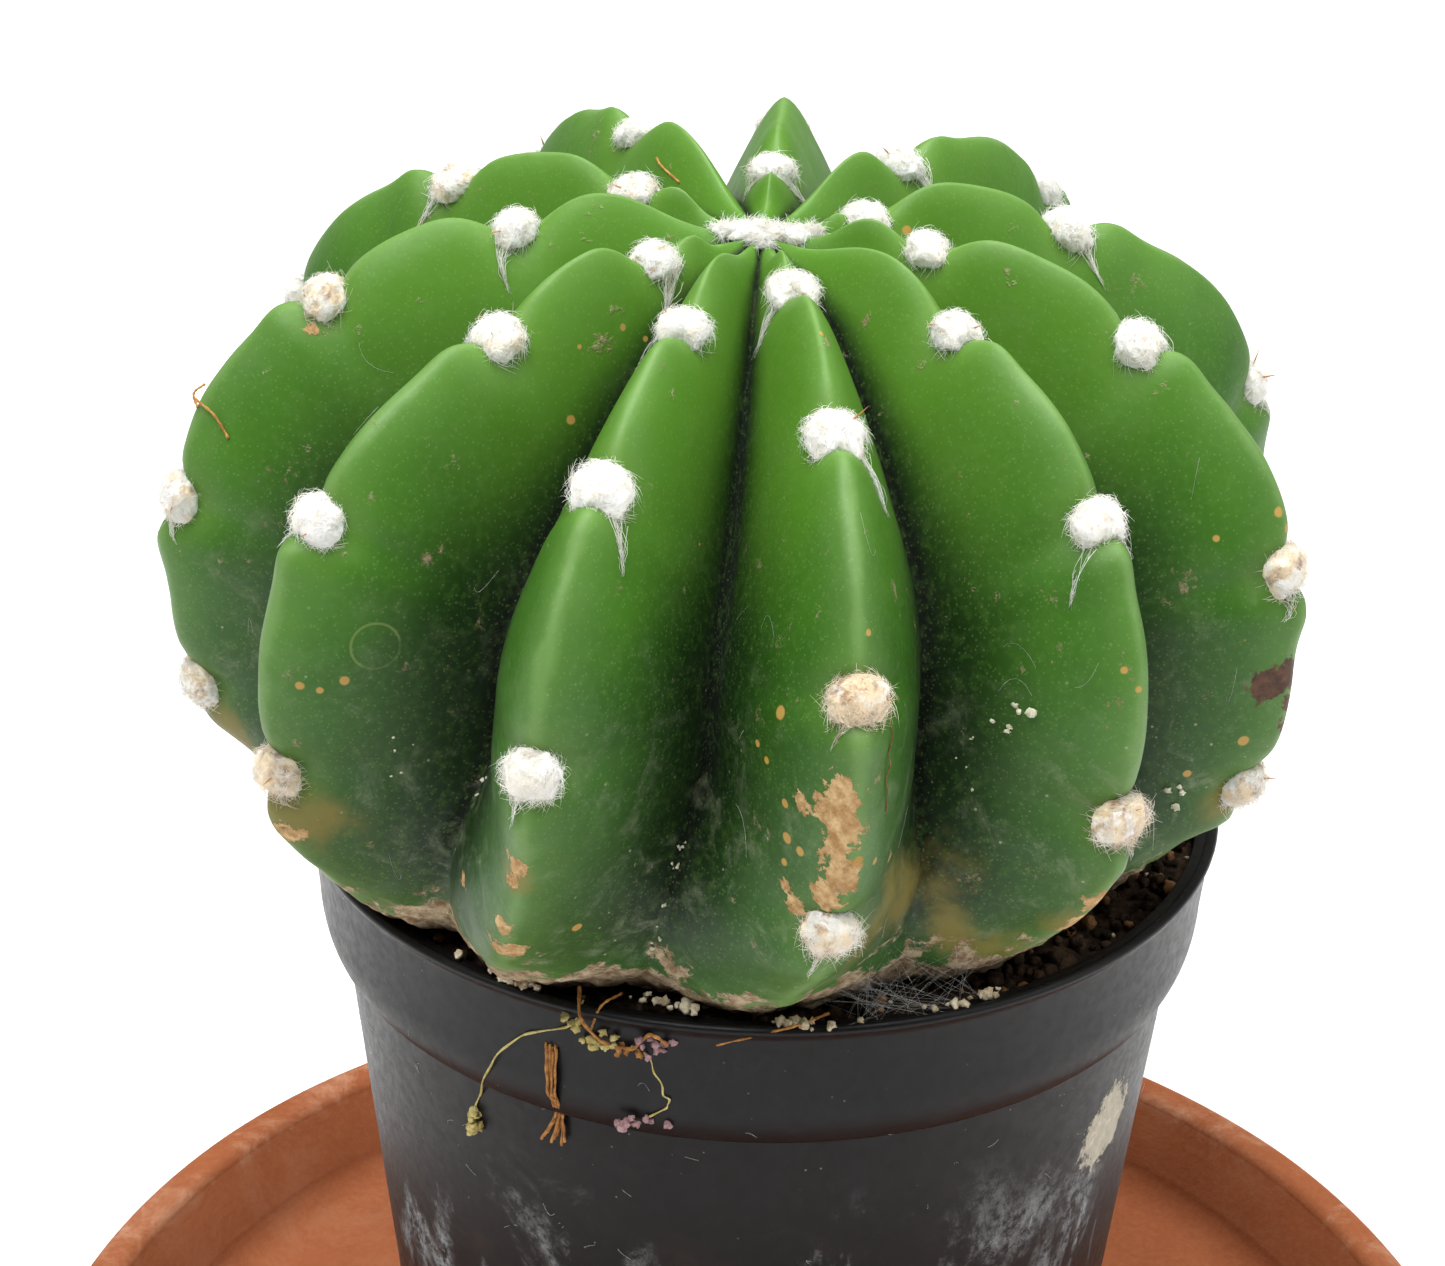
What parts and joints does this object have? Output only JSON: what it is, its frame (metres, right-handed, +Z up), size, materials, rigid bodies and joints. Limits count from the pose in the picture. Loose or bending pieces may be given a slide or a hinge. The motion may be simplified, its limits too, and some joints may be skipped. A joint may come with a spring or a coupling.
{
  "type": "potted round cactus",
  "caption": "Squat ribbed cactus with white woolly areoles, in a black plastic nursery pot standing on a shallow clay saucer.",
  "frame": {"origin": "centre of the saucer's underside, on the surface that it stands on", "axes": "+Z up, -Y towards the front, where the stem leans"},
  "size_m": [0.1508, 0.1508, 0.1462],
  "materials": {
    "clay": "unglazed terracotta",
    "black_plastic": "satin, with chalky limescale stains",
    "soil": "dry crumbly peat",
    "stem_skin": "waxy green skin, corky at the base",
    "areole_wool": "white wool"
  },
  "bodies": {
    "root": {"saucer": "clay", "pot": "black_plastic", "soil": "soil", "stem": "stem_skin", "crown_wool": "areole_wool", "wool_rib01_1": "areole_wool", "wool_rib01_2": "areole_wool", "wool_rib01_3": "areole_wool", "wool_rib02_1": "areole_wool", "wool_rib02_2": "areole_wool", "wool_rib02_3": "areole_wool", "wool_rib02_4": "areole_wool", "wool_rib03_1": "areole_wool", "wool_rib03_2": "areole_wool", "wool_rib03_3": "areole_wool", "wool_rib04_1": "areole_wool", "wool_rib04_2": "areole_wool", "wool_rib04_3": "areole_wool", "wool_rib04_4": "areole_wool", "wool_rib05_1": "areole_wool", "wool_rib05_2": "areole_wool", "wool_rib05_3": "areole_wool", "wool_rib05_4": "areole_wool", "wool_rib06_1": "areole_wool", "wool_rib06_2": "areole_wool", "wool_rib06_3": "areole_wool", "wool_rib06_4": "areole_wool", "wool_rib07_1": "areole_wool", "wool_rib07_2": "areole_wool", "wool_rib07_3": "areole_wool", "wool_rib07_4": "areole_wool", "wool_rib08_1": "areole_wool", "wool_rib08_2": "areole_wool", "wool_rib08_3": "areole_wool", "wool_rib09_1": "areole_wool", "wool_rib09_2": "areole_wool", "wool_rib09_3": "areole_wool", "wool_rib09_4": "areole_wool", "wool_rib10_1": "areole_wool", "wool_rib10_2": "areole_wool", "wool_rib10_3": "areole_wool", "wool_rib10_4": "areole_wool", "wool_rib11_1": "areole_wool", "wool_rib11_2": "areole_wool", "wool_rib11_3": "areole_wool", "wool_rib11_4": "areole_wool"}
  },
  "joints": []
}
